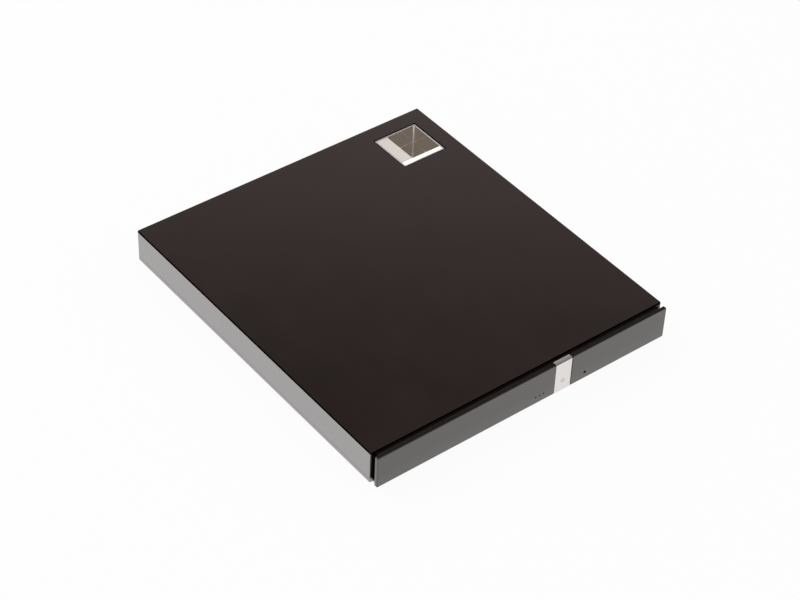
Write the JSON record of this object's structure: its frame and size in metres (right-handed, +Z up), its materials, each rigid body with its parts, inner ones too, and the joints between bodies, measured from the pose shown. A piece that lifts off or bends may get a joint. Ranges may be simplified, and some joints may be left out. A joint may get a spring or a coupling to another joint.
{
  "type": "external disc burner",
  "caption": "Slim external optical disc burner: flat black casing with a square mirror well in its roof, full-width tray bezel with a silver eject button, sliding disc tray.",
  "frame": {"origin": "on the surface that the rubber feet stand on, under the middle of the whole object, bezel included", "axes": "+Z up, the tray bezel faces -Y and the USB socket +Y, +X to the right when facing the bezel"},
  "size_m": [0.145, 0.1616, 0.0169],
  "materials": {
    "black_shell": "satin black moulding",
    "bezel_black": "polished black",
    "mirror_chrome": "mirror plating",
    "button_silver": "silver, fine satin",
    "rubber": "matt",
    "steel": "plain steel",
    "zinc_sheet": "zinc plated sheet",
    "tray_black": "fine spark texture",
    "rail_plastic": "smooth, greased",
    "board_green": "solder mask",
    "chip_black": "moulded epoxy",
    "socket_ivory": "moulded nylon",
    "ribbon_white": "film",
    "clear": "clear acrylic",
    "lens_blue": "coated lens",
    "bronze": "sintered",
    "copper_wound": "enamelled wire on laminations",
    "ferrite": "ground",
    "claw_white": "acetal",
    "zinc_cast": "cast",
    "damper_grey": "soft"
  },
  "bodies": {
    "case": {"top_cover": "black_shell", "bottom_cover": "black_shell", "mirror_well": "mirror_chrome", "rubber_feet": "rubber", "case_screws": "steel", "drive_pan": "zinc_sheet", "drive_lid": "zinc_sheet", "chassis_screws": "steel", "rail_guides": "rail_plastic", "striker_pin": "steel", "flex_ribbon": "ribbon_white", "connector_board": "board_green", "drive_plug": "socket_ivory", "bridge_board": "board_green", "bridge_socket": "chip_black", "bridge_chips": "chip_black", "usb_shell": "steel", "usb_tongue": "chip_black"},
    "rail_left": {"slide_rail_left": "steel"},
    "rail_right": {"slide_rail_right": "steel"},
    "tray": {"disc_tray": "tray_black", "tray_bezel": "bezel_black", "base_plate": "zinc_sheet", "tray_screws": "steel", "traverse_frame": "zinc_sheet", "deck_cover": "tray_black", "damper_grommets": "damper_grey", "guide_rods": "steel", "stepper_motor": "zinc_sheet", "motor_board": "board_green", "bearing_sleeve": "bronze", "motor_stator": "copper_wound", "latch_pivot": "steel", "latch_spring": "steel", "solenoid_frame": "steel", "solenoid_coil": "copper_wound", "ejector_spring": "steel", "front_board": "board_green", "eject_switch": "chip_black", "indicator_light": "clear", "main_board": "board_green", "main_board_chips": "chip_black"},
    "button": {"eject_button": "button_silver"},
    "spindle": {"rotor_bell": "zinc_sheet", "rotor_magnet": "ferrite", "spindle_shaft": "steel", "turntable_pad": "rubber", "chuck_hub": "tray_black"},
    "claw_1": {"chuck_claw_1": "claw_white"},
    "claw_2": {"chuck_claw_2": "claw_white"},
    "claw_3": {"chuck_claw_3": "claw_white"},
    "pickup": {"pickup_sled": "zinc_cast", "actuator_magnets": "ferrite", "feed_nut": "claw_white"},
    "lens": {"lens_holder": "chip_black", "objective_lenses": "lens_blue"},
    "feed_screw": {"lead_screw": "steel"},
    "latch": {"latch_lever": "claw_white"},
    "plunger": {"solenoid_plunger": "steel"},
    "ejector": {"ejector_plunger": "claw_white"}
  },
  "joints": [
    {"name": "tray_slide", "type": "slide", "parent": "case", "child": "tray", "axis": [0, -1, 0], "range_m": [0, 0.126]},
    {"name": "rail_left_slide", "type": "slide", "parent": "case", "child": "rail_left", "axis": [0, -1, 0], "range_m": [0, 0.063]},
    {"name": "rail_right_slide", "type": "slide", "parent": "case", "child": "rail_right", "axis": [0, -1, 0], "range_m": [0, 0.063]},
    {"name": "ejector_slide", "type": "slide", "parent": "tray", "child": "ejector", "axis": [0, 1, 0], "range_m": [0, 0.0127], "deforming": ["ejector_spring"]},
    {"name": "eject_button_press", "type": "slide", "parent": "tray", "child": "button", "axis": [0, 1, 0], "range_m": [0, 0.0005], "stiffness_N_per_m": 800},
    {"name": "spindle_spin", "type": "hinge", "parent": "tray", "child": "spindle", "pos_m": [0, -0.0126, 0.0118], "axis": [0, 0, 1], "continuous": true},
    {"name": "claw_1_slide", "type": "slide", "parent": "spindle", "child": "claw_1", "axis": [0.7071, 0.7071, 0], "range_m": [0, 0.0006], "stiffness_N_per_m": 200},
    {"name": "claw_2_slide", "type": "slide", "parent": "spindle", "child": "claw_2", "axis": [-0.9659, 0.2588, 0], "range_m": [0, 0.0006], "stiffness_N_per_m": 200},
    {"name": "claw_3_slide", "type": "slide", "parent": "spindle", "child": "claw_3", "axis": [0.2588, -0.9659, 0], "range_m": [0, 0.0006], "stiffness_N_per_m": 200},
    {"name": "pickup_slide", "type": "slide", "parent": "tray", "child": "pickup", "axis": [-0.7071, -0.7071, 0], "range_m": [0, 0.033]},
    {"name": "lead_screw_turn", "type": "hinge", "parent": "tray", "child": "feed_screw", "pos_m": [-0.0082, -0.04682, 0.0074], "axis": [-0.7071, -0.7071, 0], "range_deg": [-5, 3965]},
    {"name": "lens_focus", "type": "slide", "parent": "pickup", "child": "lens", "axis": [0, 0, 1], "range_m": [-0.0004, 0.0004], "stiffness_N_per_m": 60},
    {"name": "latch_release", "type": "hinge", "parent": "tray", "child": "latch", "pos_m": [0.0455, -0.0675, 0.005], "axis": [0, 0, -1], "range_deg": [0, 14], "stiffness_Nm_per_rad": 0.002, "deforming": ["latch_spring"]},
    {"name": "plunger_slide", "type": "slide", "parent": "tray", "child": "plunger", "axis": [1, 0, 0], "range_m": [0, 0.00105]}
  ],
  "couplings": [
    {"joint": "rail_left_slide", "follows": "tray_slide", "ratio": 0.5},
    {"joint": "rail_right_slide", "follows": "tray_slide", "ratio": 0.5},
    {"joint": "ejector_slide", "follows": "tray_slide", "ratio": 0.1},
    {"joint": "lead_screw_turn", "follows": "pickup_slide", "rad_per_m": 2094.4},
    {"joint": "latch_release", "follows": "plunger_slide", "rad_per_m": 232}
  ]
}
